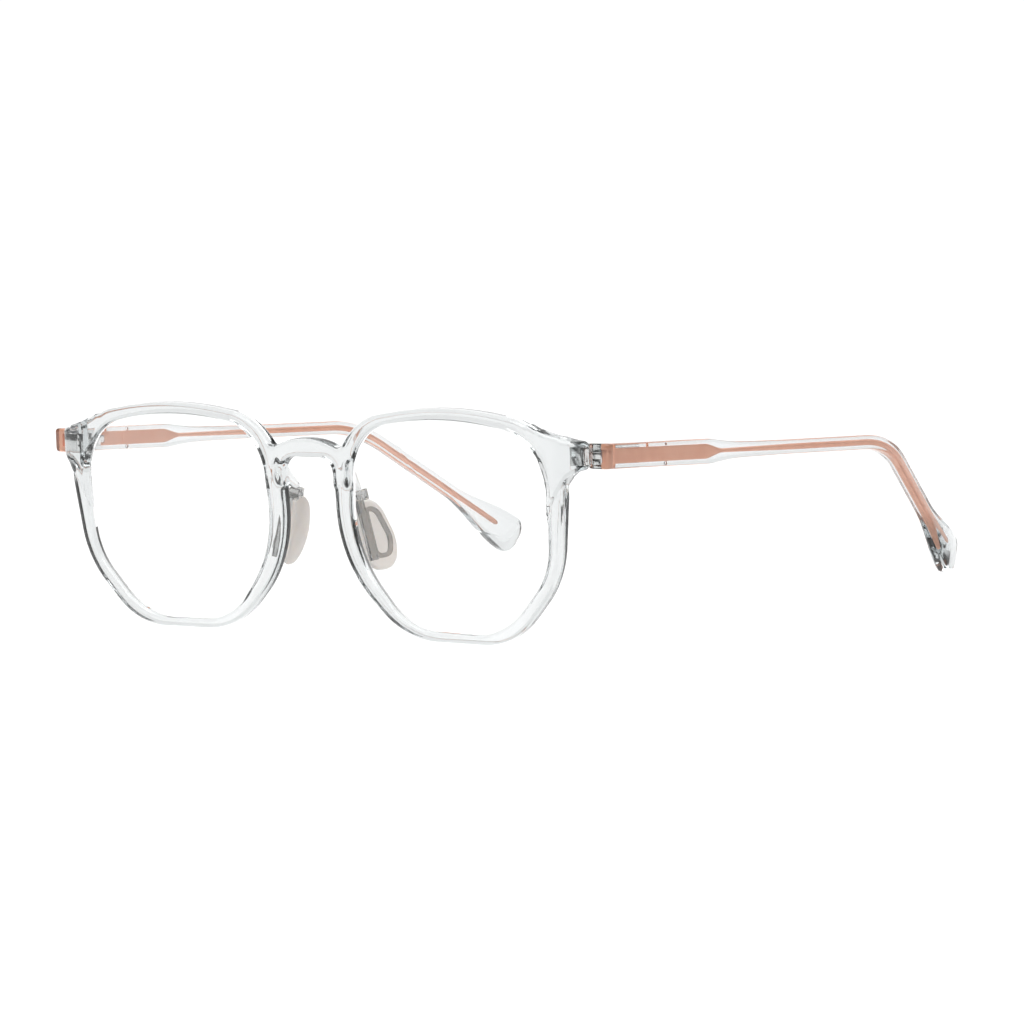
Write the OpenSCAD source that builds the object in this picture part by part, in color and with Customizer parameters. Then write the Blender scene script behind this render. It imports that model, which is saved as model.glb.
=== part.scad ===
// Blue light glasses: a clear moulded front with two lenses, two folding temples with a
// rose metal core inside a clear sheath, and two soft nose pads.
// Millimetres. X runs across the face, +X to the wearer's left, Y runs back along the
// temples, Z is up. The glasses stand open on the rims and the temple tips at Z = 0.

/* [Front] */
// Thickness of the front from its face to its back
front_t = 3.0; // [2.6:0.1:3.4]
// How far the face of the front lies ahead of the rim's own plane
face_y = 0.9; // [0.7:0.1:1.1]
// Lean of the front, its top forward
front_tilt = 3.35; // [2.5:0.05:4.5]
// Height of the point that the front leans about
lean_z = 24.4; // [22:0.1:26]
// Highest point of the bridge's top edge
bridge_top = 40.4; // [39.5:0.1:41]
// Radius of the bridge's top edge
bridge_r = 18.7; // [16:0.1:22]
// Highest point of the arch under the bridge
arch_top = 36.5; // [35.5:0.1:37]
// Half the width of the nose gap between the rims
arch_half_w = 7.1; // [6.8:0.1:7.4]
// Radius of the arch's two upper corners
arch_r = 4.0; // [3:0.1:5]

/* [Lenses] */
// Radius of the lens surface
lens_curve = 160; // [140:1:200]
// Thickness of a lens
lens_t = 1.5; // [1.2:0.1:1.7]
// How far the lens's front crest lies ahead of the rim's plane
lens_crest = 1.85; // [1.7:0.05:2]
// Depth that the lens edge sits in the rim's groove
groove_d = 0.6; // [0.4:0.1:0.7]
// Play between a lens and its groove
lens_play = 0.03; // [0.02:0.01:0.05]

/* [End pieces] */
// Outer wall of the end piece
end_x = 68.3; // [67.8:0.1:68.6]
// Back face of the end piece
end_back = 2.85; // [2.6:0.05:2.9]
// Radius of the end piece's outer corner
end_r = 4.55; // [4:0.05:4.8]

/* [Hinge] */
// Distance of the hinge axis from the middle of the glasses
hinge_x = 66.9; // [66.7:0.1:67.1]
// Distance of the hinge axis behind the rim's plane
hinge_y = 4.6; // [4.5:0.1:4.8]
// Height of the middle of the hinge
hinge_z = 37.95; // [37.5:0.05:38.4]
// Radius of a knuckle
knuckle_r = 1.2; // [1.1:0.05:1.3]
// Height of the stack of three knuckles
knuckle_h = 3.6; // [3.2:0.1:3.8]
// Height of the middle knuckle
middle_h = 1.3; // [1.1:0.1:1.5]
// Gap above and below the middle knuckle
knuckle_gap = 0.06; // [0.04:0.01:0.1]
// Radius of the screw's shank
screw_r = 0.55; // [0.5:0.05:0.6]
// Radial play of the screw in the middle knuckle
screw_play = 0.03; // [0.02:0.01:0.05]
// Radius of the screw's head
head_r = 0.95; // [0.85:0.05:1.05]
// Height of the screw's head
head_h = 0.45; // [0.3:0.05:0.6]

/* [Temples] */
// Front end of the temple
butt_y = 3.0; // [2.95:0.05:3.1]
// Distance of the straight shaft's middle from the middle of the glasses
shaft_x = 72.0; // [71.5:0.1:72.5]
// Fall of the shaft for each millimetre that it runs back
shaft_fall = 0.0576; // [0.05:0.0001:0.065]
// Width of the square-sided thin shaft
shaft_w = 3.0; // [2.8:0.1:3.2]
// Where the shaft's line meets the line of the tip
bend_y = 101.3; // [100:0.1:103]
// Radius of the bend over the ear
bend_r = 29; // [26:1:32]
// Width of the paddle at the tip
tip_w = 8.0; // [7:0.1:8.4]

/* [Core] */
// Front end of the core
core_y = 5.3; // [5:0.1:5.6]
// Back end of the core's wide paddle
waist_y = 40.5; // [38:0.1:42]
// Height of the paddle
paddle_h = 2.9; // [2.7:0.1:3]
// Thickness of the paddle
paddle_t = 0.8; // [0.6:0.1:1]
// Radius of the wire
wire_r = 0.6; // [0.6:0.05:0.8]
// Middle of the locating rib across the paddle
rib_y = 23; // [21:0.5:25]
// Width of the locating rib
rib_w = 2.4; // [2:0.1:2.8]
// Length of the locating rib
rib_h = 2.7; // [2.4:0.1:2.8]

/* [Nose pads] */
// Middle of a pad
pad_centre = [10.4, 7.7, 20.5];
// Lean of a pad, its foot outward
pad_lean = 16; // [10:1:20]
// Turn of a pad about its long line, its back edge outward
pad_turn = 15; // [10:1:20]
// Half the length of a pad
pad_half = 7.5; // [7:0.25:8]
// Thickness of a pad
pad_t = 2.4; // [2:0.1:2.8]
// Play between the pad, its hard carrier and the bracket
pad_play = 0.03; // [0.02:0.01:0.06]
// Underside of the clip at the carrier's top, from the pad's middle
clip_z = 6.9; // [6.7:0.1:7.1]

/* [Hidden] */

// Middle of the whole depth, from the rims' top front edge to the ends of the tips
depth_mid = 71.9;
// Corners of the rim's outer outline, each [x, height, radius], counter-clockwise
rim_corners = [[66.1, 42.9, 14.5], [37, 48.1, 85], [7.3, 43.7, 15], [6.7, 15.7, 25.5],
               [22.4, 0.1, 20], [49.5, 0, 17], [62.2, 13.6, 20.5]];
// Corners of the opening that a lens shows through
aperture_corners = [[61.2, 41, 12.5], [36.2, 46, 75], [12.1, 42.1, 11.5], [10.4, 17.8, 24.5],
                    [23.5, 2.2, 15], [47.2, 1.7, 17.5], [59.6, 15.1, 14.5]];
// Middle of a lens opening
lens_x = 35.6;
// Degrees of each step round an outline's corner
arc_step = 4;
// Front view of the web that joins the rim to its end piece
web_points = [[55, 44.3], [60, 36], [63.6, 28], [65, 31], [65, 42], [62.5, 42.7], [59.9, 43.4]];
// Front view of the end piece, which the temple butts against
end_points = [[61.5, 42.9], [61.5, 30], [64.2, 30.5], [65.7, 33.1], [67, 34.4], [67.7, 34.9],
              [68.4, 35.3], [68.4, 40.5], [67.7, 41.1], [64.8, 42]];
// Depth of the pocket that holds a hinge leaf in the end piece
leaf_t = 0.8;
// Play between an embedded leaf and the plastic round it
leaf_play = 0.02;
// Middle of the core at the temple's front end
core_front_x = 70.7;
// Outward turn of the core's paddle
splay = atan((shaft_x - core_front_x) / (waist_y - butt_y));
// Downward turn of the shaft
fall = atan(shaft_fall);
// End of the wire inside the tip
wire_end = [61.5, 138, 6.7];
// Rows of the temple's thick part: [distance back, inner face, outer face, height]
thick_rows = [[3, 67.7, 72.9, 5], [4.4, 67.9, 72.95, 5], [10, 68.9, 73.1, 4.95],
              [16, 69.6, 73.25, 4.9], [24, 70.15, 73.4, 4.95], [30, 70.35, 73.5, 5],
              [35.8, 70.4, 73.55, 5], [40, 70.45, 73.55, 4.2], [44.5, 70.5, 73.5, 3.45],
              [50, 70.5, 73.5, 3.2], [62, 70.5, 73.5, 2.95]];
// Length over which the tip widens into its paddle
tip_neck = 20;
// Thickness of the paddle at the tip
tip_t = 4.2;
// Length of the paddle's rounded end
tip_cap = 2.9;
// Points round a ring of the temple's skin
ring_n = 16;
// Power that squares the rings off
ring_power = 0.36;
$fn = 64;

function unit(v) = v / norm(v);
function blend(a, b, t) = a + (b - a) * t * t * (3 - 2 * t);

// One rounded corner as an arc about its own centre, grown outward by grow
function corner_arc(last, here, next, grow) =
    let (p = [here[0], here[1]],
         a = unit([last[0], last[1]] - p),
         b = unit([next[0], next[1]] - p),
         half = acos(a * b) / 2,
         centre = p + unit(a + b) * here[2] / sin(half),
         from = p + a * here[2] / tan(half) - centre,
         start = atan2(from[1], from[0]),
         sweep = 180 - 2 * half,
         steps = ceil(sweep / arc_step))
    [for (i = [0 : steps]) centre + (here[2] + grow)
        * [cos(start + sweep * i / steps), sin(start + sweep * i / steps)]];

// A closed outline of rounded corners
function outline(corners, grow = 0) =
    let (n = len(corners))
    [for (i = [0 : n - 1])
        each corner_arc(corners[(i + n - 1) % n], corners[i], corners[(i + 1) % n], grow)];

// The bend of the temple: where its two straight lines meet, and the arc between them
bend_point = [shaft_x, bend_y, hinge_z - shaft_fall * (bend_y - butt_y)];
shaft_dir = unit([0, 1, -shaft_fall]);
tip_dir = unit(wire_end - bend_point);
bend_turn = acos(shaft_dir * tip_dir);
bend_in = unit(tip_dir - shaft_dir * cos(bend_turn));
bend_run = bend_r * tan(bend_turn / 2);
bend_start = bend_point - shaft_dir * bend_run;
// Distance along the tip's line to the middle of its paddle, whose rim touches the ground
tip_side = unit(cross(tip_dir, [0, 0, 1]));
tip_drop = norm([tip_dir[2] * tip_cap, cross(tip_side, tip_dir)[2] * tip_w / 2]);
tip_reach = (bend_point[2] - tip_drop) / -tip_dir[2];

function bend_at(turn) = bend_start
    + bend_r * (sin(turn) * shaft_dir + (1 - cos(turn)) * bend_in);
function bend_dir(turn) = cos(turn) * shaft_dir + sin(turn) * bend_in;

// Each ring of the temple's skin: [middle, direction, half thickness, half height]
function thick_ring(row) = [[(row[1] + row[2]) / 2, row[0], hinge_z - shaft_fall * (row[0] - butt_y)],
                            row[0] == butt_y ? [0, 1, 0] : shaft_dir,
                            (row[2] - row[1]) / 2, row[3] / 2];
function bend_ring(turn) = [bend_at(turn), bend_dir(turn), shaft_w / 2, shaft_w / 2];
function neck_ring(t) = [bend_point + tip_dir * (tip_reach - tip_neck * (1 - t)), tip_dir,
                         blend(shaft_w, tip_t, t) / 2, blend(shaft_w, tip_w, t) / 2];
function end_ring(angle) = [bend_point + tip_dir * (tip_reach + tip_cap * sin(angle)), tip_dir,
                            tip_t / 2 * pow(cos(angle), 0.7), tip_w / 2 * cos(angle)];
temple_rings = concat([for (row = thick_rows) thick_ring(row)],
                      [for (i = [0 : 6]) bend_ring(bend_turn * i / 6)],
                      [for (i = [1 : 8]) neck_ring(i / 8)],
                      [for (angle = [16, 34, 50, 64, 76, 84]) end_ring(angle)]);

function signed_power(v, p) = sign(v) * pow(abs(v), p);
function ring_points(ring) =
    let (side = unit(cross(ring[1], [0, 0, 1])),
         rise = cross(side, ring[1]))
    [for (j = [0 : ring_n - 1]) ring[0]
        + side * ring[2] * signed_power(cos(360 * j / ring_n), ring_power)
        + rise * ring[3] * signed_power(sin(360 * j / ring_n), ring_power)];

// Everything is drawn with the rims' plane at Y = 0, then moved so that Y = 0 is mid-depth
module place() {
    translate([0, -depth_mid, 0]) children();
}

module on_right() {
    mirror([1, 0, 0]) children();
}

module both_sides() {
    children();
    on_right() children();
}

// Leans the front so that its lowest edge rests on the ground
module front_pose() {
    translate([0, 0, lean_z * cos(front_tilt) + face_y * sin(front_tilt)])
        rotate([front_tilt, 0, 0]) translate([0, 0, -lean_z]) children();
}

// Extrudes a front view from depth y0 back to depth y1
module upright(y0, y1) {
    translate([0, y1, 0]) rotate([90, 0, 0]) linear_extrude(y1 - y0) children();
}

module rod(from, to, r) {
    run = to - from;
    translate(from) rotate([0, acos(run[2] / norm(run)), atan2(run[1], run[0])])
        cylinder(r = r, h = norm(run));
}

// ---- Front ----

module bridge_view() {
    difference() {
        intersection() {
            translate([0, bridge_top - bridge_r]) circle(bridge_r, $fn = 120);
            translate([-10, 30]) square([20, 12]);
        }
        for (x = [-1, 1]) translate([x * (arch_half_w - arch_r), arch_top - arch_r]) circle(arch_r);
        translate([arch_r - arch_half_w, 30])
            square([2 * (arch_half_w - arch_r), arch_top - 30]);
        translate([-arch_half_w, 29]) square([2 * arch_half_w, arch_top - arch_r - 29]);
    }
}

// Plan of the end piece: its front wall curves back into its outer wall
module end_plan() {
    translate([60, end_back - end_r]) square([end_x - end_r - 60, end_r]);
    intersection() {
        translate([end_x - end_r, end_back]) circle(end_r, $fn = 96);
        translate([end_x - end_r, end_back - end_r]) square(end_r);
    }
}

module end_piece() {
    intersection() {
        translate([0, 0, 28]) linear_extrude(18) end_plan();
        upright(-3, 4) polygon(end_points);
    }
}

// A flat bracket from the rim's back down to the pad's clip, grown by play on every side
module pad_arm(play = 0) {
    hull() {
        translate([8.3 - play, 0.6, 30.6 - play]) cube([2.2 + 2 * play, 0.8, 5.2]);
        translate([7.7 - play, 4.3 - play, 29.3 - play]) cube([1.5, 2.2, 1.2] + 2 * play * [1, 1, 1]);
    }
}

module lens_shape(grow, play) {
    intersection() {
        upright(-4, 4) polygon(outline(aperture_corners, grow));
        translate([lens_x, lens_curve - lens_crest, lean_z]) difference() {
            sphere(lens_curve + play, $fn = 300);
            sphere(lens_curve - lens_t - play, $fn = 300);
        }
    }
}

module front_frame() {
    color([0.93, 0.95, 0.96, 0.5]) place() difference() {
        union() {
            difference() {
                union() {
                    front_pose() upright(-face_y, front_t - face_y) {
                        bridge_view();
                        both_sides() polygon(outline(rim_corners));
                        both_sides() polygon(web_points);
                    }
                    both_sides() end_piece();
                }
                both_sides() front_pose() {
                    upright(-5, 6) polygon(outline(aperture_corners));
                    lens_shape(groove_d, lens_play);
                }
            }
            both_sides() pad_arm();
        }
        both_sides() front_leaf(leaf_play);
    }
}

module lens() {
    color([0.96, 0.98, 1, 0.25]) place() front_pose() lens_shape(groove_d - lens_play, 0);
}

module lens_left() {
    lens();
}

module lens_right() {
    on_right() lens();
}

// ---- Hinges ----

// Lower end of each outer knuckle, counted from the middle of the hinge
outer_h = (knuckle_h - middle_h) / 2 - knuckle_gap;
outer_foot = [-knuckle_h / 2, knuckle_h / 2 - outer_h];

module at_hinge() {
    translate([hinge_x, hinge_y, hinge_z]) children();
}

// Inner and outer end of the leaf in the end piece
leaf_x = [64.2, 67.3];

// Leaf let into the back of the end piece, with the arms of its two knuckles
module front_leaf(play) {
    translate([leaf_x[0] - play, end_back - leaf_t - play, hinge_z - knuckle_h / 2 - play])
        cube([leaf_x[1] - leaf_x[0] + 2 * play, leaf_t + 2 * play, knuckle_h + 2 * play]);
}

module hinge_front() {
    color([0.8, 0.8, 0.8]) place() difference() {
        union() {
            front_leaf(0);
            for (foot = outer_foot) {
                at_hinge() translate([0, 0, foot]) cylinder(r = knuckle_r, h = outer_h);
                translate([hinge_x - knuckle_r, end_back - 0.1, hinge_z + foot])
                    cube([knuckle_r + 0.4, hinge_y - end_back + 0.1, outer_h]);
            }
        }
        at_hinge() cylinder(r = screw_r + 0.01, h = knuckle_h + 1, center = true);
    }
}

module hinge_front_left() {
    hinge_front();
}

module hinge_front_right() {
    on_right() hinge_front();
}

// The frame of the core's paddle: Y runs along it from the temple's front end
module along_core() {
    translate([core_front_x, butt_y, hinge_z]) rotate([-fall, 0, -splay]) children();
}

// Leaf that lies against the inner face of the core, with its tongue and the middle knuckle
module temple_leaf() {
    inner = -paddle_t / 2 - leaf_t;
    start = 2;
    length = 9.3;
    along_core() {
        translate([inner, start, -1.5]) cube([leaf_t - leaf_play, length, 3]);
        translate([inner, start + length - 0.1, -0.8]) cube([leaf_t - leaf_play, 1.3, 1.6]);
    }
    at_hinge() translate([0, 0, -middle_h / 2]) {
        cylinder(r = knuckle_r, h = middle_h);
        translate([0, knuckle_r - 0.9, 0]) cube([3.2, 0.9, middle_h]);
    }
}

module hinge_temple() {
    color([0.8, 0.8, 0.8]) place() difference() {
        temple_leaf();
        at_hinge() cylinder(r = screw_r + screw_play, h = knuckle_h, center = true);
    }
}

module hinge_temple_left() {
    hinge_temple();
}

module hinge_temple_right() {
    on_right() hinge_temple();
}

module hinge_screw() {
    slot_w = 0.25;
    color([0.7, 0.7, 0.7]) place() at_hinge() difference() {
        union() {
            translate([0, 0, -knuckle_h / 2]) cylinder(r = screw_r, h = knuckle_h + 0.1);
            translate([0, 0, knuckle_h / 2]) cylinder(r = head_r, h = head_h);
        }
        translate([-head_r - 0.1, -slot_w / 2, knuckle_h / 2 + head_h / 2])
            cube([2 * head_r + 0.2, slot_w, head_h]);
    }
}

module hinge_screw_left() {
    hinge_screw();
}

module hinge_screw_right() {
    on_right() hinge_screw();
}

// ---- Temples ----

// Front, height and width of the plate across the core's front end
plate_y = 4.6;
plate_h = 4.6;
plate_w = 2.2;
// Height of the plate's window and width of the bar beyond it
window_h = 2.6;
bar_w = 1.0;
// Front and thickness of the tab on the core's top edge
tab_y = 16.3;
tab_t = 0.6;

// Flat paddle that narrows to the wire, with a plate across its front end, a tab on its top
// edge and a rib rolled across its inner face
module core_paddle() {
    start = core_y - butt_y;
    end = (waist_y - butt_y) / cos(splay) / cos(fall);
    top = paddle_h / 2;
    along_core() {
        translate([paddle_t / 2, 0, 0]) rotate([0, -90, 0]) linear_extrude(paddle_t)
            polygon([[-top, start], [top, start], [top, end - 5.2], [wire_r, end - 0.6],
                     [wire_r, end + 0.6], [-wire_r, end + 0.6], [-wire_r, end - 0.6],
                     [-top, end - 5.2]]);
        translate([-0.12 - paddle_t / 2, rib_y - butt_y - rib_w / 2, -rib_h / 2])
            cube([0.3, rib_w, rib_h]);
        translate([-paddle_t / 2, plate_y - butt_y, -plate_h / 2]) difference() {
            cube([plate_w, start - plate_y + butt_y + 0.1, plate_h]);
            translate([-0.1, -0.1, (plate_h - window_h) / 2])
                cube([plate_w - bar_w + 0.1, start - plate_y + butt_y, window_h]);
        }
        translate([-tab_t / 2, tab_y - butt_y, 0]) cube([tab_t, 0.4, plate_h / 2]);
    }
}

module core_wire() {
    waist = [shaft_x, waist_y, hinge_z - shaft_fall * (waist_y - butt_y)];
    hub = bend_start + bend_in * bend_r;
    axis = cross(-bend_in, shaft_dir);
    bend_lap = 0.2;
    rod(waist, bend_start + shaft_dir * bend_lap, wire_r);
    multmatrix([[-bend_in[0], shaft_dir[0], axis[0], hub[0]],
                [-bend_in[1], shaft_dir[1], axis[1], hub[1]],
                [-bend_in[2], shaft_dir[2], axis[2], hub[2]],
                [0, 0, 0, 1]])
        rotate_extrude(angle = bend_turn, $fn = 120)
            translate([bend_r, 0]) circle(wire_r + 0.01, $fn = 32);
    rod(bend_at(bend_turn) - tip_dir * bend_lap, wire_end, wire_r);
}

module core_shape() {
    core_paddle();
    core_wire();
}

module temple_core() {
    color([0.82, 0.58, 0.5]) place() core_shape();
}

module temple_core_left() {
    temple_core();
}

module temple_core_right() {
    on_right() temple_core();
}

// Radius of the two small holes beside the rib, where the core was held for moulding
dimple_r = 0.4;

// Clear skin moulded over the core, swept through rings from the front end to the tip
module sheath_skin() {
    last = len(temple_rings) - 1;
    points = [for (ring = temple_rings) each ring_points(ring)];
    walls = [for (i = [0 : last - 1], j = [0 : ring_n - 1])
        [i * ring_n + j, i * ring_n + (j + 1) % ring_n,
         (i + 1) * ring_n + (j + 1) % ring_n, (i + 1) * ring_n + j]];
    caps = [[for (j = [0 : ring_n - 1]) ring_n - 1 - j], [for (j = [0 : ring_n - 1]) last * ring_n + j]];
    polyhedron(points, concat(walls, caps), convexity = 6);
}

module temple_sheath() {
    color([0.95, 0.95, 0.95, 0.4]) place() difference() {
        sheath_skin();
        at_hinge() cylinder(r = knuckle_r + 0.25, h = knuckle_h + 0.4, center = true);
        along_core() for (side = [-1, 1])
            translate([-1.4, rib_y - butt_y, side * (paddle_h / 2 + dimple_r)])
                rotate([0, 90, 0]) cylinder(r = dimple_r, h = 0.5);
    }
}

module temple_sheath_left() {
    temple_sheath();
}

module temple_sheath_right() {
    on_right() temple_sheath();
}

// ---- Nose pads ----

// Rounded corners of the pad's side view: back, up, radius
pad_corners = [[2.2, pad_half, 5], [-3.4, pad_half, 1.6], [-4, -pad_half, 3.2],
               [2.8, -pad_half, 3.6], [4.7, -2.2, 9]];
// Rounded corners of the carrier's ring, seen the same way
ring_corners = [[1, 5.4, 2.6], [-2.2, 5.4, 1.2], [-2.4, -5.2, 1.9], [1.7, -5.2, 2],
                [3, -1.6, 5]];
// Plane of the pad's back, on the pad's own X
pad_back = pad_t / 2 + 0.02;

// A pad's own frame: X points away from the nose, Y back, Z up its length
module pad_pose() {
    translate(pad_centre) rotate([0, -pad_lean, 0]) rotate([0, 0, -pad_turn]) children();
}

// Extrudes a side view of the pad from depth x0 to x1 along the pad's own X
module pad_slab(x0, x1) {
    translate([x0, 0, 0]) rotate([90, 0, 90]) linear_extrude(x1 - x0) children();
}

// The clip's block at the top of the hard carrier, grown by play on every side
module pad_clip(play = 0) {
    translate([pad_back - 1.3 - play, -3.6 - play, clip_z - play])
        cube([2.4, 2.9, 2.2] + 2 * play * [1, 1, 1]);
}

module nose_pad() {
    crown_r = 17;
    color([0.82, 0.78, 0.76]) place() pad_pose() difference() {
        intersection() {
            pad_slab(-pad_t / 2, pad_t / 2) polygon(outline(pad_corners));
            translate([crown_r - pad_t / 2, 0, 0]) sphere(crown_r, $fn = 160);
        }
        pad_clip(pad_play);
    }
}

module nose_pad_left() {
    nose_pad();
}

module nose_pad_right() {
    on_right() nose_pad();
}

// Hard clear carrier: a ring on the pad's back, a bar beside it and the clip above
module pad_insert() {
    color([0.9, 0.9, 0.9, 0.6]) place() difference() {
        pad_pose() {
            pad_slab(pad_back, pad_back + 0.6) difference() {
                polygon(outline(ring_corners));
                polygon(outline(ring_corners, -0.9));
            }
            translate([pad_back, -3.6, -5.4]) cube([1.1, 1.5, 12.4]);
            difference() {
                pad_clip();
                translate([pad_back - 1.4, -2.7, clip_z - 0.1]) cube([2.6, 1.1, 1.3]);
            }
        }
        pad_arm(pad_play);
    }
}

module pad_insert_left() {
    pad_insert();
}

module pad_insert_right() {
    on_right() pad_insert();
}

front_frame();
lens_left();
lens_right();
hinge_front_left();
hinge_front_right();
hinge_temple_left();
hinge_temple_right();
hinge_screw_left();
hinge_screw_right();
temple_core_left();
temple_core_right();
temple_sheath_left();
temple_sheath_right();
pad_insert_left();
pad_insert_right();
nose_pad_left();
nose_pad_right();
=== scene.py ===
"""The looks of the blue light glasses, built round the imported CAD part.

Shapes are worked out in millimetres with the rims' plane at Y = 0, as in the CAD source, and
turned into metres in the row's frame as each mesh is made.
"""

import math

import bmesh
import bpy
import numpy as np
from mathutils import Matrix, Vector


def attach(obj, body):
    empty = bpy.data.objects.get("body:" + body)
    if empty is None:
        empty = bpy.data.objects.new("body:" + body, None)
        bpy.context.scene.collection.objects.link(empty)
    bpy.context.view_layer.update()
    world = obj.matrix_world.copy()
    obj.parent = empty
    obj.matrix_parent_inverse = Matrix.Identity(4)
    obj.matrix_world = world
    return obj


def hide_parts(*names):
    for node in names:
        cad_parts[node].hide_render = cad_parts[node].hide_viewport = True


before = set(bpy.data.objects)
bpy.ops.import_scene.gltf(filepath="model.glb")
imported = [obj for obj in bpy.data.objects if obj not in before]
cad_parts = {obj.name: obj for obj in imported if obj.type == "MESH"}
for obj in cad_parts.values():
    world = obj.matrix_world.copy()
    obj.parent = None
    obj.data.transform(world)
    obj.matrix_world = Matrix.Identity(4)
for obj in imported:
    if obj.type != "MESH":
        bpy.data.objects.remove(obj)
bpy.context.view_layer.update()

SIDES = {"left": 1, "right": -1}

# Edges that turn more than this are shaded as edges
SHARP = math.radians(50)

# ---- Driving dimensions, in millimetres ----

# How far the rims' plane stands in front of the row's origin
DEPTH_MID = 71.9
# The front leans, its foot further back than its top, about a line at this height
LEAN = math.radians(3.35)
LEAN_Z = 24.4
# Front and back of the rims, and how far their edges are rounded
FACE_Y = -0.9
BACK_Y = 2.1
EDGE_R = 0.75
# Outside of a rim and the lens opening in it: X, Z and radius of each corner
RIM = [(66.1, 42.9, 14.5), (37, 48.1, 85), (7.3, 43.7, 15), (6.7, 15.7, 25.5),
       (22.4, 0.1, 20), (49.5, 0, 17), (62.2, 13.6, 20.5)]
APERTURE = [(61.2, 41, 12.5), (36.2, 46, 75), (12.1, 42.1, 11.5), (10.4, 17.8, 24.5),
            (23.5, 2.2, 15), (47.2, 1.7, 17.5), (59.6, 15.1, 14.5)]
# Bridge: crest, its radius, half width and foot
BRIDGE_TOP = 40.4
BRIDGE_R = 18.7
BRIDGE_HALF = 9.5
BRIDGE_FOOT = 31
# The opening under the bridge: top, half height, half width and corner radius
ARCH_TOP = 36.5
ARCH_RISE = 10
ARCH_HALF = 7.1
ARCH_R = 4.0
# End piece in plan: outer wall, back, corner radius, and where its depth grows and by how much
END_X = 68.3
END_BACK = 2.85
END_R = 4.55
END_START = 59.5
END_FULL = 64.2
END_STEP = 2.4
# End piece in front view: top and foot at its outer end, and where it starts inside the rim
END_TOP = 40.75
END_FOOT = 35.1
END_INNER = 57
# How its top and foot sweep out into the rim: from which X, how much, to which power
TOP_SWEEP = (69, 0.055, 1.62)
FOOT_SWEEP = (68, 0.16, 2.0)
# Slopes of the two sweeps, which keep the field near a true distance
TOP_SLOPE = 1.15
FOOT_SLOPE = 1.3
# The rim's own part of the end piece stops here
WEB_END = 63.8
# The end piece keeps this clear of the lens opening
HOLE_MARGIN = 0.4
# Widths of the blends where bridge, end piece and pad brackets meet the rims
BRIDGE_BLEND = 1.6
WEB_BLEND = 1.2
END_BLEND = 0.9
ARM_BLEND = 0.8
END_EDGE = 0.8
# Pad bracket: its ends, and its half width and half height at the root and how much they lose
ARM_ROOT = np.array([9.4, 1.2, 33.4])
ARM_FOOT = np.array([8.45, 5.35, 30.0])
ARM_HALF_X = (1.1, 0.35)
ARM_HALF_Z = (2.3, 1.6)
# Middle of the hinge, and radius of its knuckles
HINGE = np.array([66.9, 4.6, 37.95])
KNUCKLE_R = 1.2
# Lens: middle, radius of its front face, thickness, height of its crown and play in the rim
LENS_X = 35.6
LENS_CURVE = 160.0
LENS_T = 1.5
LENS_CREST = 1.85
LENS_PLAY = 0.04

# Temple: front end, X and thickness of its shaft, and how far it falls for each mm back
BUTT_Y = 3.0
SHAFT_X = 72.0
SHAFT_FALL = 0.0576
SHAFT_W = 3.0
# Where the shaft reaches its even section, and where its straight rings stop
SHAFT_START = 62
SHAFT_END = 92
# The bend over the ear, and the end of the wire in the tip
BEND_Y = 101.3
BEND_R = 29.0
WIRE_END = np.array([61.5, 138.0, 6.7])
# Tip: width, thickness, length of its round end, extra width below, and length of its neck
TIP_W = 8.0
TIP_T = 4.2
TIP_CAP = 2.9
TIP_SAG = 0.8
TIP_NECK = 20.0
# Distance back, inner face, outer face and height along the temple's thick part
THICK = [(3, 67.7, 72.9, 5), (4.4, 67.9, 72.95, 5), (10, 68.9, 73.1, 4.95),
         (16, 69.6, 73.25, 4.9), (24, 70.15, 73.4, 4.95), (30, 70.35, 73.5, 5),
         (35.8, 70.4, 73.55, 5), (40, 70.45, 73.55, 4.2), (44.5, 70.5, 73.5, 3.45),
         (50, 70.5, 73.5, 3.2), (62, 70.5, 73.5, 2.95)]
# How far the front end's rounded edge is set in, and at which distance back
BUTT_EDGE = ((0.62, 3.0), (0.28, 3.04), (0.1, 3.14), (0.02, 3.32))
# Squareness of a ring: 1 is an ellipse, and less is closer to a box
BUTT_POWER = 0.26
SHAFT_POWER = 0.34
TIP_POWER = 0.5
CORE_POWER = 0.16
# Core: X and Y of its front end, where the paddle ends, its height and thickness, and the wire
CORE_FRONT_X = 70.7
CORE_Y = 5.3
WAIST_Y = 40.5
PADDLE_H = 2.9
PADDLE_T = 0.8
PADDLE_TAPER = 5
WIRE_R = 0.6
WAIST_R = 0.4
# Raised band across the paddle, and how far it stands out and reaches in
RIB_Y = 23.0
RIB_W = 2.4
RIB_H = 2.7
RIB_OUT = 0.12
RIB_IN = 0.18
# Plate at the core's front end, with a window through it
PLATE_Y = 4.6
PLATE_H = 4.6
PLATE_W = 2.2
WINDOW_H = 2.6
BAR_W = 1.0
# Thin upright tab on the paddle
TAB_Y = 16.3
TAB_T = 0.6
TAB_LONG = 0.4
# Dimples that the mould leaves beside the band: radius, and from where to where inside
DIMPLE_R = 0.4
DIMPLE_X = (-1.4, -0.9)
# Pocket round the hinge's middle knuckle: half height and play
POCKET_HALF = 2.0
POCKET_PLAY = 0.25

# Nose pad: middle, lean and turn, thickness, side view and radius of its crown
PAD_CENTRE = np.array([10.4, 7.7, 20.5])
PAD_LEAN = math.radians(16)
PAD_TURN = math.radians(15)
PAD_T = 2.4
PAD_VIEW = [(2.2, 7.5, 5), (-3.4, 7.5, 1.6), (-4, -7.5, 3.2), (2.8, -7.5, 3.6), (4.7, -2.2, 9)]
PAD_CROWN = 16.0
PAD_EDGE = 0.9


# ---- Numbers and shapes ----

def unit(v):
    return v / np.linalg.norm(v)


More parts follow.
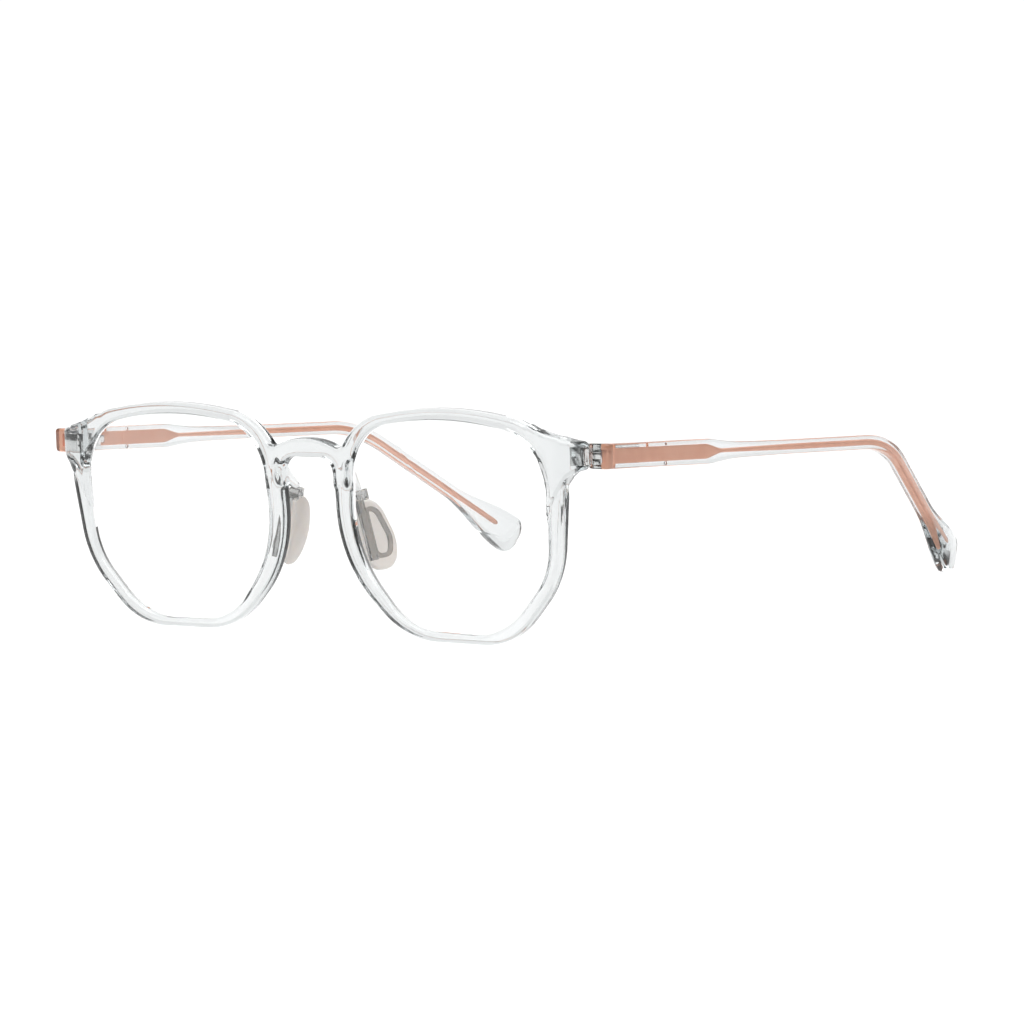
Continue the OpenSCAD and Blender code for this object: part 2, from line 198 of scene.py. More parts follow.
def ease(a, b, t):
    """A blend from a to b that starts and ends level, as t goes from 0 to 1."""
    return a + (b - a) * t * t * (3 - 2 * t)


def smooth_min(a, b, k):
    """The lesser of two fields, rounded over a width k where they meet."""
    h = np.clip(0.5 + 0.5 * (b - a) / k, 0, 1)
    return b + (a - b) * h - k * h * (1 - h)


def smooth_max(a, b, k):
    """The greater of two fields, rounded over a width k where they meet."""
    return -smooth_min(-a, -b, k)


def corner_arcs(corners):
    """Centre, radius, start angle and sweep of each rounded corner, counter-clockwise."""
    arcs = []
    for i, (x, z, r) in enumerate(corners):
        here = np.array([x, z])
        a = unit(np.array(corners[i - 1][:2]) - here)
        b = unit(np.array(corners[(i + 1) % len(corners)][:2]) - here)
        half = math.acos(float(a @ b)) / 2
        centre = here + unit(a + b) * r / math.sin(half)
        start = here + a * r / math.tan(half) - centre
        arcs.append((centre, r, math.atan2(start[1], start[0]), math.pi - 2 * half))
    return arcs


def outline(corners, grow=0.0, step=1.5):
    """Points round a closed outline of rounded corners, grown outward."""
    points = []
    for centre, r, start, sweep in corner_arcs(corners):
        count = max(2, math.ceil(math.degrees(sweep) / step))
        for i in range(count + 1):
            angle = start + sweep * i / count
            points.append(centre + (r + grow) * np.array([math.cos(angle), math.sin(angle)]))
    return np.array(points)


def rounded_field(corners, x, z):
    """Signed distance to a convex outline of rounded corners, negative inside."""
    arcs = corner_arcs(corners)
    best = np.full(x.shape, 1e3)
    for i, (centre, r, start, sweep) in enumerate(arcs):
        dx, dz = x - centre[0], z - centre[1]
        angle = np.mod(np.arctan2(dz, dx) - start, 2 * math.pi)
        near = np.where(angle <= sweep, np.hypot(dx, dz) - r, 1e3)
        best = np.where(np.abs(near) < np.abs(best), near, best)
        after, r2, start2, _ = arcs[(i + 1) % len(arcs)]
        end = start + sweep
        a = centre + r * np.array([math.cos(end), math.sin(end)])
        b = after + r2 * np.array([math.cos(start2), math.sin(start2)])
        along = unit(b - a)
        t = (x - a[0]) * along[0] + (z - a[1]) * along[1]
        side = (x - a[0]) * along[1] - (z - a[1]) * along[0]
        near = np.where((t >= 0) & (t <= np.linalg.norm(b - a)), side, 1e3)
        best = np.where(np.abs(near) < np.abs(best), near, best)
    return best


def box_field(x, z, half_x, half_z, r):
    """Signed distance to a rectangle with rounded corners, negative inside."""
    qx, qz = np.abs(x) - half_x + r, np.abs(z) - half_z + r
    return np.hypot(np.maximum(qx, 0), np.maximum(qz, 0)) + np.minimum(np.maximum(qx, qz), 0) - r


def slab_field(flat, y, low, high, r):
    """A flat shape given depth from low to high, its edges rounded to r."""
    q = flat + r
    w = np.abs(y - (low + high) / 2) - (high - low) / 2 + r
    return np.hypot(np.maximum(q, 0), np.maximum(w, 0)) + np.minimum(np.maximum(q, w), 0) - r


def to_row(points, side=1):
    """Millimetres with the rims' plane at Y = 0, to metres in the row's frame."""
    moved = np.array(points, float) - [0, DEPTH_MID, 0]
    moved[:, 0] *= side
    return moved * 0.001


def front_lean(points):
    """From the front's own upright frame to the leaning one."""
    y, z = points[:, 1], points[:, 2] - LEAN_Z
    lift = LEAN_Z * math.cos(LEAN) - FACE_Y * math.sin(LEAN)
    return np.stack([points[:, 0], y * math.cos(LEAN) - z * math.sin(LEAN),
                     y * math.sin(LEAN) + z * math.cos(LEAN) + lift], 1)


def front_unlean(x, y, z):
    """From the leaning frame back to the front's own upright one."""
    lift = LEAN_Z * math.cos(LEAN) - FACE_Y * math.sin(LEAN)
    up = z - lift
    return (x, y * math.cos(LEAN) + up * math.sin(LEAN),
            -y * math.sin(LEAN) + up * math.cos(LEAN) + LEAN_Z)


# ---- Meshes ----

def make_object(name, verts, faces):
    """A smooth closed mesh object from points in metres, its faces turned outward."""
    mesh = bpy.data.meshes.new(name)
    mesh.from_pydata([tuple(v) for v in verts], [], [tuple(int(i) for i in f) for f in faces])
    mesh.validate()
    work = bmesh.new()
    work.from_mesh(mesh)
    bmesh.ops.recalc_face_normals(work, faces=work.faces)
    work.to_mesh(mesh)
    work.free()
    mesh.shade_smooth()
    mesh.set_sharp_from_angle(angle=SHARP)
    obj = bpy.data.objects.new(name, mesh)
    bpy.context.scene.collection.objects.link(obj)
    return obj


def skin(field, low, high, step):
    """Vertices and quads of the surface field = 0, by surface nets, pulled onto the field."""
    axes = [np.arange(a, b + step, step) for a, b in zip(low, high)]
    grid = np.meshgrid(*axes, indexing="ij")
    values = field(*grid)
    inside = values < 0
    shape = [n - 1 for n in values.shape]
    total = np.zeros(shape + [3])
    count = np.zeros(shape)
    for axis in range(3):
        others = [a for a in range(3) if a != axis]
        for da in (0, 1):
            for db in (0, 1):
                start = [slice(0, n) for n in shape]
                start[others[0]] = slice(da, da + shape[others[0]])
                start[others[1]] = slice(db, db + shape[others[1]])
                stop = list(start)
                stop[axis] = slice(1, shape[axis] + 1)
                a, b = values[tuple(start)], values[tuple(stop)]
                cross = (a < 0) != (b < 0)
                t = np.where(cross, a / np.where(cross, a - b, 1), 0)
                total[..., axis] += np.where(cross, t, 0)
                total[..., others[0]] += cross * da
                total[..., others[1]] += cross * db
                count += cross
    used = count > 0
    index = np.full(shape, -1)
    index[used] = np.arange(used.sum())
    cells = np.argwhere(used)
    verts = (cells + total[used] / count[used][:, None]) * step + np.array([a[0] for a in axes])
    quads = []
    for axis in range(3):
        u, v = [(1, 2), (2, 0), (0, 1)][axis]
        first = [slice(0, n) for n in values.shape]
        second = [slice(0, n) for n in values.shape]
        first[axis] = slice(0, -1)
        second[axis] = slice(1, None)
        change = inside[tuple(first)] != inside[tuple(second)]
        spots = np.argwhere(change)
        keep = np.all([(spots[:, k] > 0) & (spots[:, k] < shape[k]) for k in (u, v)], axis=0)
        spots = spots[keep]
        lead = inside[tuple(first)][tuple(spots.T)]
        ring = []
        for du, dv in ((-1, -1), (0, -1), (0, 0), (-1, 0)):
            place = spots.copy()
            place[:, u] += du
            place[:, v] += dv
            ring.append(index[tuple(place.T)])
        ring = np.stack(ring, 1)
        ring[~lead] = ring[~lead][:, ::-1]
        quads.append(ring)
    for _ in range(3):
        verts = pull(field, verts)
    return verts, np.concatenate(quads)


def pull(field, verts, reach=0.02):
    """Moves points along the field's slope onto its zero surface."""
    x, y, z = verts.T
    slope = np.stack([field(x + reach, y, z) - field(x - reach, y, z),
                      field(x, y + reach, z) - field(x, y - reach, z),
                      field(x, y, z + reach) - field(x, y, z - reach)], 1) / (2 * reach)
    size = np.maximum((slope ** 2).sum(1), 0.3)
    move = -slope * (field(x, y, z) / size)[:, None]
    length = np.linalg.norm(move, axis=1)
    return verts + move * np.minimum(1, 0.2 / np.maximum(length, 1e-9))[:, None]


# ---- Materials ----

def new_material(name):
    material = bpy.data.materials.new(name)
    material.use_nodes = True
    shader = material.node_tree.nodes["Principled BSDF"]
    return material, material.node_tree, shader


def add_noise(tree, scale, detail=3.0):
    place = tree.nodes.new("ShaderNodeTexCoord")
    noise = tree.nodes.new("ShaderNodeTexNoise")
    noise.inputs["Scale"].default_value = scale
    noise.inputs["Detail"].default_value = detail
    tree.links.new(place.outputs["Object"], noise.inputs["Vector"])
    return noise


def add_ramp(tree, source, low, high):
    """Maps a noise to a run of values or colours between low and high."""
    ramp = tree.nodes.new("ShaderNodeValToRGB")
    ramp.color_ramp.elements[0].position = 0.3
    ramp.color_ramp.elements[1].position = 0.7
    for element, value in zip(ramp.color_ramp.elements, (low, high)):
        element.color = (*value, 1) if isinstance(value, tuple) else (value, value, value, 1)
    tree.links.new(source.outputs["Fac"], ramp.inputs["Fac"])
    return ramp


def add_bump(tree, shader, source, strength, distance):
    bump = tree.nodes.new("ShaderNodeBump")
    bump.inputs["Strength"].default_value = strength
    bump.inputs["Distance"].default_value = distance
    tree.links.new(source.outputs["Fac"], bump.inputs["Height"])
    tree.links.new(bump.outputs["Normal"], shader.inputs["Normal"])


def clear_plastic(name, low, high, rough_low, rough_high, ior, depth=0):
    """Polished clear plastic: a faint uneven tint, an uneven polish, darker where it is deep."""
    material, tree, shader = new_material(name)
    shader.inputs["Transmission Weight"].default_value = 1.0
    shader.inputs["IOR"].default_value = ior
    tint = add_ramp(tree, add_noise(tree, 60), low, high)
    tree.links.new(tint.outputs["Color"], shader.inputs["Base Color"])
    polish = add_ramp(tree, add_noise(tree, 400), rough_low, rough_high)
    tree.links.new(polish.outputs["Color"], shader.inputs["Roughness"])
    if depth:
        soak = tree.nodes.new("ShaderNodeVolumeAbsorption")
        soak.inputs["Color"].default_value = (0.78, 0.80, 0.805, 1)
        soak.inputs["Density"].default_value = depth
        tree.links.new(soak.outputs["Volume"], tree.nodes["Material Output"].inputs["Volume"])
    return material


def rose_metal():
    """Satin rose plating with a fine drawn grain."""
    material, tree, shader = new_material("rose_metal")
    shader.inputs["Metallic"].default_value = 0.75
    tint = add_ramp(tree, add_noise(tree, 300), (0.93, 0.46, 0.31), (0.985, 0.53, 0.37))
    tree.links.new(tint.outputs["Color"], shader.inputs["Base Color"])
    grain = add_noise(tree, 4000, 6)
    rough = add_ramp(tree, grain, 0.34, 0.5)
    tree.links.new(rough.outputs["Color"], shader.inputs["Roughness"])
    add_bump(tree, shader, grain, 0.15, 0.00004)
    return material


def bright_metal(name, low, high, rough_low, rough_high):
    """Bare metal with a fine turned grain."""
    material, tree, shader = new_material(name)
    shader.inputs["Metallic"].default_value = 1.0
    tint = add_ramp(tree, add_noise(tree, 500), low, high)
    tree.links.new(tint.outputs["Color"], shader.inputs["Base Color"])
    grain = add_noise(tree, 3000, 4)
    rough = add_ramp(tree, grain, rough_low, rough_high)
    tree.links.new(rough.outputs["Color"], shader.inputs["Roughness"])
    add_bump(tree, shader, grain, 0.1, 0.00003)
    return material


def silicone():
    """Milky silicone: light scatters inside it, and its skin is soft and matt."""
    material, tree, shader = new_material("milky_silicone")
    tint = add_ramp(tree, add_noise(tree, 250), (0.70, 0.665, 0.635), (0.76, 0.72, 0.69))
    tree.links.new(tint.outputs["Color"], shader.inputs["Base Color"])
    shader.inputs["Subsurface Weight"].default_value = 0.6
    shader.inputs["Subsurface Radius"].default_value = (0.003, 0.0025, 0.002)
    shader.inputs["Subsurface Scale"].default_value = 1.0
    shader.inputs["Transmission Weight"].default_value = 0.35
    shader.inputs["IOR"].default_value = 1.41
    grain = add_noise(tree, 2500, 5)
    rough = add_ramp(tree, grain, 0.32, 0.5)
    tree.links.new(rough.outputs["Color"], shader.inputs["Roughness"])
    add_bump(tree, shader, grain, 0.08, 0.00003)
    return material


MATERIALS = {
    "clear_frame": clear_plastic(
        "clear_front", (0.855, 0.86, 0.86), (0.88, 0.885, 0.885),
        rough_low=0.0, rough_high=0.02, ior=1.5, depth=235),
    "clear_temple": clear_plastic(
        "clear_sheath", (0.88, 0.885, 0.885), (0.91, 0.91, 0.91),
        rough_low=0.0, rough_high=0.02, ior=1.49, depth=220),
    "lens": clear_plastic(
        "coated_lens", (0.985, 0.99, 0.99), (0.99, 0.992, 0.995),
        rough_low=0.0, rough_high=0.004, ior=1.5),
    "clear_insert": clear_plastic(
        "clear_insert", (0.40, 0.40, 0.395), (0.48, 0.48, 0.47),
        rough_low=0.02, rough_high=0.08, ior=1.58),
    "core_rose": rose_metal(),
    "hinge_steel": bright_metal(
        "nickel_silver", (0.78, 0.77, 0.76), (0.84, 0.83, 0.82), rough_low=0.08, rough_high=0.16),
    "screw_steel": bright_metal(
        "turned_steel", (0.34, 0.34, 0.35), (0.42, 0.42, 0.43), rough_low=0.2, rough_high=0.34),
    "silicone": silicone(),
}
# Clear pieces let the light through, so they cast no shadow
CLEAR = ("clear_frame", "clear_temple", "lens", "clear_insert")


def dress(piece, slot, body, node=None):
    """Gives a piece the material of its slot and puts it under its body. Clear pieces cast no
    shadow, and the CAD node that it stands for is hidden.
    """
    piece.data.materials.clear()
    piece.data.materials.append(MATERIALS[slot])
    if slot in CLEAR:
        piece.visible_shadow = False
    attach(piece, body)
    if node:
        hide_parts(node)


# ---- Front ----

def front_field(x, y, z):
    """Signed distance to the clear front: rims, bridge, end pieces and pad brackets."""
    x = np.abs(x)
    fx, fy, fz = front_unlean(x, y, z)
    rim = rounded_field(RIM, fx, fz)
    hole = rounded_field(APERTURE, fx, fz)
    crest = np.hypot(fx, fz - (BRIDGE_TOP - BRIDGE_R)) - BRIDGE_R
    arch = box_field(fx, fz - (ARCH_TOP - ARCH_RISE), ARCH_HALF, ARCH_RISE, ARCH_R)
    bridge = np.maximum(np.maximum(crest, -arch),
                        np.maximum(fx - BRIDGE_HALF, BRIDGE_FOOT - fz))
    web = np.maximum(end_view_field(fx, fz), fx - WEB_END)
    flat = smooth_min(smooth_min(rim, bridge, BRIDGE_BLEND), web, WEB_BLEND)
    body = slab_field(np.maximum(flat, -hole), fy, FACE_Y, BACK_Y, EDGE_R)
    end = end_piece_field(x, y, fx, fz)
    whole = smooth_min(body, np.maximum(end, HOLE_MARGIN - hole), END_BLEND)
    return smooth_min(whole, arm_field(x, y, z), ARM_BLEND)


def end_view_field(fx, fz):
    """Front view of the end piece: a bar whose top and foot sweep out into the rim."""
    outer, gain, power = TOP_SWEEP
    top = END_TOP + gain * np.maximum(outer - fx, 0) ** power
    outer, gain, power = FOOT_SWEEP
    foot = END_FOOT - gain * np.maximum(outer - fx, 0) ** power
    high = (fz - top) / TOP_SLOPE
    low = (foot - fz) / FOOT_SLOPE
    return np.maximum(np.maximum(high, low), END_INNER - fx)


def end_piece_field(x, y, fx, fz):
    """The end piece in depth: it thickens outward, and its front curves into its outer wall."""
    cx, cy = END_X - END_R, END_BACK
    dx, dy = np.maximum(x - cx, 0), np.minimum(y - cy, 0)
    along = np.clip((x - END_START) / (END_FULL - END_START), 0, 1)
    back = ease(END_BACK - END_STEP, END_BACK, along)
    plan = np.maximum(np.hypot(dx, dy) - END_R, y - back)
    view = np.maximum(end_view_field(fx, fz), END_START - x)
    return smooth_max(plan, view, END_EDGE)


def arm_field(x, y, z):
    """Bracket from the rim's back down to the nose pad: a flat bar between two points."""
    root = ARM_ROOT
    run = ARM_FOOT - root
    t = np.clip(((x - root[0]) * run[0] + (y - root[1]) * run[1] + (z - root[2]) * run[2])
                / (run @ run), 0, 1)
    dx = x - (root[0] + run[0] * t)
    dy = y - (root[1] + run[1] * t)
    dz = z - (root[2] + run[2] * t)
    half_x = ARM_HALF_X[0] - ARM_HALF_X[1] * t
    half_z = ARM_HALF_Z[0] - ARM_HALF_Z[1] * t
    q = np.hypot(dx / half_x, np.hypot(dy, dz) / half_z)
    return (q - 1) * np.minimum(half_x, half_z) * 0.9


def build_front():
    step = 0.25
    verts, quads = skin(front_field, (-69, -3, -0.4), (69, 7.6, 47.8), step)
    piece = make_object("front_visual", to_row(verts), quads.tolist())
    dress(piece, "clear_frame", "front", "front_frame")


def build_lens(name, side):
    """A plain lens: two spherical faces over the opening's outline."""
    rim = outline(APERTURE, -LENS_PLAY)
    centre = np.array([LENS_X, LEAN_Z])
    layers = [0.02, 0.15, 0.3, 0.45, 0.6, 0.75, 0.88, 0.96, 1.0]
    n = len(rim)
    verts = []
    for radius, crest in ((LENS_CURVE, -LENS_CREST), (LENS_CURVE - LENS_T, LENS_T - LENS_CREST)):
        hub = LENS_CURVE - LENS_CREST
        for layer in layers:
            flat = centre + (rim - centre) * layer
            away = np.hypot(flat[:, 0] - LENS_X, flat[:, 1] - LEAN_Z)
            y = hub - np.sqrt(radius ** 2 - away ** 2)
            verts.append(np.stack([flat[:, 0], y, flat[:, 1]], 1))
    verts = np.concatenate(verts)
    rows = len(layers)
    faces = []
    for row in range(rows - 1):
        for i in range(n):
            a, b = row * n + i, row * n + (i + 1) % n
            faces.append((a, b, b + n, a + n))
            a, b = a + rows * n, b + rows * n
            faces.append((b, a, a + n, b + n))
    last = (rows - 1) * n
    for i in range(n):
        a, b = last + i, last + (i + 1) % n
        faces.append((a, b, b + rows * n, a + rows * n))
    faces.append(tuple(range(n))[::-1])
    faces.append(tuple(range(rows * n, rows * n + n)))
    piece = make_object(name + "_visual", to_row(front_lean(verts), side), faces)
    dress(piece, "lens", "front", name)


# ---- Temples ----

BEND_POINT = np.array([SHAFT_X, BEND_Y, HINGE[2] - SHAFT_FALL * (BEND_Y - BUTT_Y)])
SHAFT_DIR = unit(np.array([0, 1, -SHAFT_FALL]))
TIP_DIR = unit(WIRE_END - BEND_POINT)
BEND_TURN = math.acos(float(SHAFT_DIR @ TIP_DIR))
BEND_IN = unit(TIP_DIR - SHAFT_DIR * math.cos(BEND_TURN))
BEND_START = BEND_POINT - SHAFT_DIR * BEND_R * math.tan(BEND_TURN / 2)
TIP_RISE = np.cross(unit(np.cross(TIP_DIR, [0, 0, 1])), TIP_DIR)
TIP_DROP = (math.hypot(TIP_DIR[2] * TIP_CAP, TIP_RISE[2] * (TIP_W + TIP_SAG) / 2)
            + TIP_RISE[2] * TIP_SAG / 2)
TIP_REACH = (BEND_POINT[2] - TIP_DROP) / -TIP_DIR[2]


def shaft_z(y):
    """Height of the temple's middle at a distance back."""
    return HINGE[2] - SHAFT_FALL * (y - BUTT_Y)


def smooth_row(y):
    """Inner face, outer face and height of the temple's thick part at a distance back."""
    rows = np.array(THICK)
    return [float(curve_through(rows[:, 0], rows[:, k], y)) for k in (1, 2, 3)]


def curve_through(xs, ys, x):
    """A smooth curve through the given points, without overshoot."""
    slopes = np.diff(ys) / np.diff(xs)
    tangents = np.concatenate([[slopes[0]], (slopes[:-1] + slopes[1:]) / 2, [slopes[-1]]])
    flat = np.concatenate([[False], slopes[:-1] * slopes[1:] <= 0, [False]])
    tangents[flat] = 0
    i = int(np.clip(np.searchsorted(xs, x) - 1, 0, len(xs) - 2))
    h = xs[i + 1] - xs[i]
    t = (x - xs[i]) / h
    return ((2 * t ** 3 - 3 * t ** 2 + 1) * ys[i] + (t ** 3 - 2 * t ** 2 + t) * h * tangents[i]
            + (3 * t ** 2 - 2 * t ** 3) * ys[i + 1] + (t ** 3 - t ** 2) * h * tangents[i + 1])


def bend_ring(turn, half_side, half_rise, power):
    """A ring at an angle round the bend over the ear."""
    centre = BEND_START + BEND_R * (math.sin(turn) * SHAFT_DIR + (1 - math.cos(turn)) * BEND_IN)
    along = math.cos(turn) * SHAFT_DIR + math.sin(turn) * BEND_IN
    return centre, along, half_side, half_rise, power


def temple_rings():
    """Rings of the clear sheath: middle, direction, half thickness, half height, squareness."""
    rings = []
    for inset, y in BUTT_EDGE:
        inner, outer, height = smooth_row(y)
        rings.append((np.array([(inner + outer) / 2, y, shaft_z(y)]), np.array([0.0, 1, 0]),
                      (outer - inner) / 2 - inset, height / 2 - inset, BUTT_POWER))
    for y in np.concatenate([np.arange(3.7, 12, 0.6), np.arange(12, SHAFT_START, 0.9),
                             np.arange(SHAFT_START, SHAFT_END, 3)]):
        inner, outer, height = smooth_row(min(y, SHAFT_START))
        power = ease(BUTT_POWER, SHAFT_POWER, np.clip((y - 34) / 14, 0, 1))
        rings.append((np.array([(inner + outer) / 2, y, shaft_z(y)]), SHAFT_DIR,
                      (outer - inner) / 2, height / 2, power))
    for turn in np.linspace(0, BEND_TURN, 22):
        rings.append(bend_ring(turn, SHAFT_W / 2, SHAFT_W / 2, SHAFT_POWER))
    for t in np.linspace(0.04, 1, 26):
        sag = ease(0, TIP_SAG, t)
        centre = BEND_POINT + TIP_DIR * (TIP_REACH - TIP_NECK * (1 - t)) - TIP_RISE * sag / 2
        rings.append((centre, TIP_DIR, ease(SHAFT_W, TIP_T, t) / 2,
                      (ease(SHAFT_W, TIP_W, t) + sag) / 2, ease(SHAFT_POWER, TIP_POWER, t)))
    for angle in np.radians(np.arange(5, 90, 4)):
        centre = (BEND_POINT + TIP_DIR * (TIP_REACH + TIP_CAP * math.sin(angle))
                  - TIP_RISE * TIP_SAG / 2)
        rings.append((centre, TIP_DIR, TIP_T / 2 * math.cos(angle) ** 0.7,
                      (TIP_W + TIP_SAG) / 2 * math.cos(angle), TIP_POWER))
    return rings


def core_rings():
    """Rings of the rose core: a flat paddle that narrows to a round wire."""
    rings = []
    splay = (SHAFT_X - CORE_FRONT_X) / (WAIST_Y - BUTT_Y)
    along = unit(np.array([splay, 1, -SHAFT_FALL]))

    def middle(y):
        return np.array([CORE_FRONT_X + splay * (y - BUTT_Y), y, shaft_z(y)])

    for inset, y in ((0.16, CORE_Y), (0.05, CORE_Y + 0.03), (0.0, CORE_Y + 0.12)):
        rings.append((middle(y), along, PADDLE_T / 2 - inset, PADDLE_H / 2 - inset, CORE_POWER))
    for y in np.arange(CORE_Y + 1, WAIST_Y - PADDLE_TAPER, 1.0):
        rings.append((middle(y), along, PADDLE_T / 2, PADDLE_H / 2, CORE_POWER))
    for t in np.linspace(0, 1, 14):
        y = WAIST_Y - PADDLE_TAPER * (1 - t)
        taper = ease(0, 1, t) * 0.35 + t * 0.65
        rings.append((middle(y), along, PADDLE_T / 2 + (WAIST_R - PADDLE_T / 2) * taper,
                      PADDLE_H / 2 + (WAIST_R - PADDLE_H / 2) * taper,
                      CORE_POWER + (1 - CORE_POWER) * taper))
    for y in np.arange(WAIST_Y + 0.8, 88, 2.5):
        r = ease(WAIST_R, WIRE_R, min(1, (y - WAIST_Y) / 30))
        rings.append((np.array([SHAFT_X, y, shaft_z(y)]), SHAFT_DIR, r, r, 1.0))
    for turn in np.linspace(0, BEND_TURN, 22):
        rings.append(bend_ring(turn, WIRE_R, WIRE_R, 1.0))
    start = BEND_POINT + TIP_DIR * BEND_R * math.tan(BEND_TURN / 2)
    reach = np.linalg.norm(WIRE_END - start)
    for distance in np.arange(3, reach - 1.2, 3):
        rings.append((start + TIP_DIR * distance, TIP_DIR, WIRE_R, WIRE_R, 1.0))
    for short, size in ((1.2, 1.0), (0.8, 0.93), (0.4, 0.72), (0.1, 0.4)):
        rings.append((WIRE_END - TIP_DIR * short, TIP_DIR, WIRE_R * size, WIRE_R * size, 1.0))
    return rings


def sweep(rings, around):
    """Vertices and faces of a skin through rings, closed at both ends."""
    turn = np.linspace(0, 2 * math.pi, around, endpoint=False)
    c, s = np.cos(turn), np.sin(turn)
    verts = []
    for centre, along, half_side, half_rise, power in rings:
        side = unit(np.cross(along, [0, 0, 1]))
        rise = np.cross(side, along)
        verts.append(centre + np.outer(np.sign(c) * np.abs(c) ** power * half_side, side)
                     + np.outer(np.sign(s) * np.abs(s) ** power * half_rise, rise))
    faces = []
    for row in range(len(rings) - 1):
        for i in range(around):
            a, b = row * around + i, row * around + (i + 1) % around
            faces.append((a, b, b + around, a + around))
    last = (len(rings) - 1) * around
    faces.append(tuple(range(around))[::-1])
    faces.append(tuple(range(last, last + around)))
    return np.concatenate(verts), faces


def round_bar(a, b, r, around=32):
    """Vertices and faces of a cylinder from a to b."""
    along = unit(b - a)
    side = unit(np.cross(along, [0.3, 0.9, 0.31]))
    rise = np.cross(side, along)
    turn = np.linspace(0, 2 * math.pi, around, endpoint=False)[:, None]
    ring = r * (np.cos(turn) * side + np.sin(turn) * rise)
    faces = [(i, (i + 1) % around, (i + 1) % around + around, i + around) for i in range(around)]
    faces += [tuple(range(around))[::-1], tuple(range(around, 2 * around))]
    return np.concatenate([a + ring, b + ring]), faces


def carve(piece, shape, side):
    """Cuts a shape, given as vertices and faces, out of a piece."""
    verts, faces = shape
    tool = make_object("tool", to_row(verts, side), faces)
    cut = piece.modifiers.new("cut", "BOOLEAN")
    cut.operation = "DIFFERENCE"
    cut.solver = "EXACT"
    cut.object = tool
    bpy.context.view_layer.update()
    solved = piece.evaluated_get(bpy.context.evaluated_depsgraph_get())
    result = bpy.data.meshes.new_from_object(solved)
    piece.modifiers.remove(cut)
    piece.data = result
    result.shade_smooth()
    result.set_sharp_from_angle(angle=SHARP)
    bpy.data.objects.remove(tool)


def build_sheath(name, side):
    """The clear sheath, with the hinge's pocket and the mould's two dimples cut into it."""
    verts, faces = sweep(temple_rings(), 64)
    piece = make_object(f"temple_sheath_{name}_visual", to_row(verts, side), faces)
    rise = [0, 0, POCKET_HALF]
    carve(piece, round_bar(HINGE - rise, HINGE + rise, KNUCKLE_R + POCKET_PLAY), side)
    for way in (-1, 1):
        z = way * (PADDLE_H / 2 + DIMPLE_R)
        inner, outer = along_core([(x, RIB_Y - BUTT_Y, z) for x in DIMPLE_X])
        carve(piece, round_bar(inner, outer, DIMPLE_R), side)
    dress(piece, "clear_temple", f"{name}_temple", f"temple_sheath_{name}")


def build_core(name, side):
    """The rose core: paddle and wire, with its band, front plate and tab."""
    verts, faces = sweep(core_rings(), 64)
    inner, outer = -PADDLE_T / 2, PLATE_W - PADDLE_T / 2
    front, back = PLATE_Y - BUTT_Y, CORE_Y - BUTT_Y + 0.1
    bar = block((outer - BAR_W, front, -PLATE_H / 2), (outer, back, PLATE_H / 2))
    top = block((inner, front, WINDOW_H / 2), (outer - BAR_W + 0.05, back, PLATE_H / 2))
    foot = block((inner, front, -PLATE_H / 2), (outer - BAR_W + 0.05, back, -WINDOW_H / 2))
    wall = block((inner, back - 0.1, -PLATE_H / 2), (outer, back, PLATE_H / 2))
    tab = block((-TAB_T / 2, TAB_Y - BUTT_Y, 0),
                (TAB_T / 2, TAB_Y - BUTT_Y + TAB_LONG, PLATE_H / 2))
    rib = block((inner - RIB_OUT, RIB_Y - BUTT_Y - RIB_W / 2, -RIB_H / 2),
                (inner + RIB_IN, RIB_Y - BUTT_Y + RIB_W / 2, RIB_H / 2))
    for more_verts, more_faces in (rib, bar, top, foot, wall, tab):
        faces += [tuple(i + len(verts) for i in face) for face in more_faces]
        verts = np.concatenate([verts, more_verts])
    piece = make_object(f"temple_core_{name}_visual", to_row(verts, side), faces)
    dress(piece, "core_rose", f"{name}_temple", f"temple_core_{name}")


def along_core(points):
    """From a frame that starts at the temple's front end, Y along the paddle, to the glasses'."""
    fall = math.atan(SHAFT_FALL)
    splay = math.atan((SHAFT_X - CORE_FRONT_X) / (WAIST_Y - BUTT_Y))
    turn = Matrix.Rotation(-splay, 3, "Z") @ Matrix.Rotation(-fall, 3, "X")
    return np.array(points, float) @ np.array(turn).T + [CORE_FRONT_X, BUTT_Y, HINGE[2]]


def block(low, high):
    """A block in the core's frame."""
    xs, ys, zs = zip(low, high)
    verts = along_core([(x, y, z) for z in zs for y in ys for x in xs])
    faces = [(0, 2, 3, 1), (4, 5, 7, 6), (0, 1, 5, 4), (2, 6, 7, 3), (0, 4, 6, 2), (1, 3, 7, 5)]
    return verts, faces


# ---- Nose pads ----

def pad_place(points):
    """From a pad's own frame (X away from the nose, Y back, Z up) to the glasses' frame."""
    lean = np.array(Matrix.Rotation(-PAD_LEAN, 3, "Y"))
    turn = np.array(Matrix.Rotation(-PAD_TURN, 3, "Z"))
    return points @ (lean @ turn).T + PAD_CENTRE


def pad_field(x, y, z):
    """A soft teardrop with a flat back, crowned on the nose side."""
    flat = rounded_field(PAD_VIEW, y, z)
    away = x - PAD_CROWN + PAD_T / 2
    crown = np.sqrt(away ** 2 + y ** 2 + (z * 0.8) ** 2) - PAD_CROWN
    body = slab_field(flat, x, -PAD_T / 2, PAD_T / 2, PAD_EDGE)
    return smooth_max(body, crown, 0.5)


def build_pad(name, side):
    step = 0.22
    verts, quads = skin(pad_field, (-2, -4.8, -8.2), (2, 4.8, 8.2), step)
    piece = make_object(name + "_visual", to_row(pad_place(verts), side), quads.tolist())
    dress(piece, "silicone", "front", name)


# ---- Hard parts that keep their CAD shape, with their edges softened ----

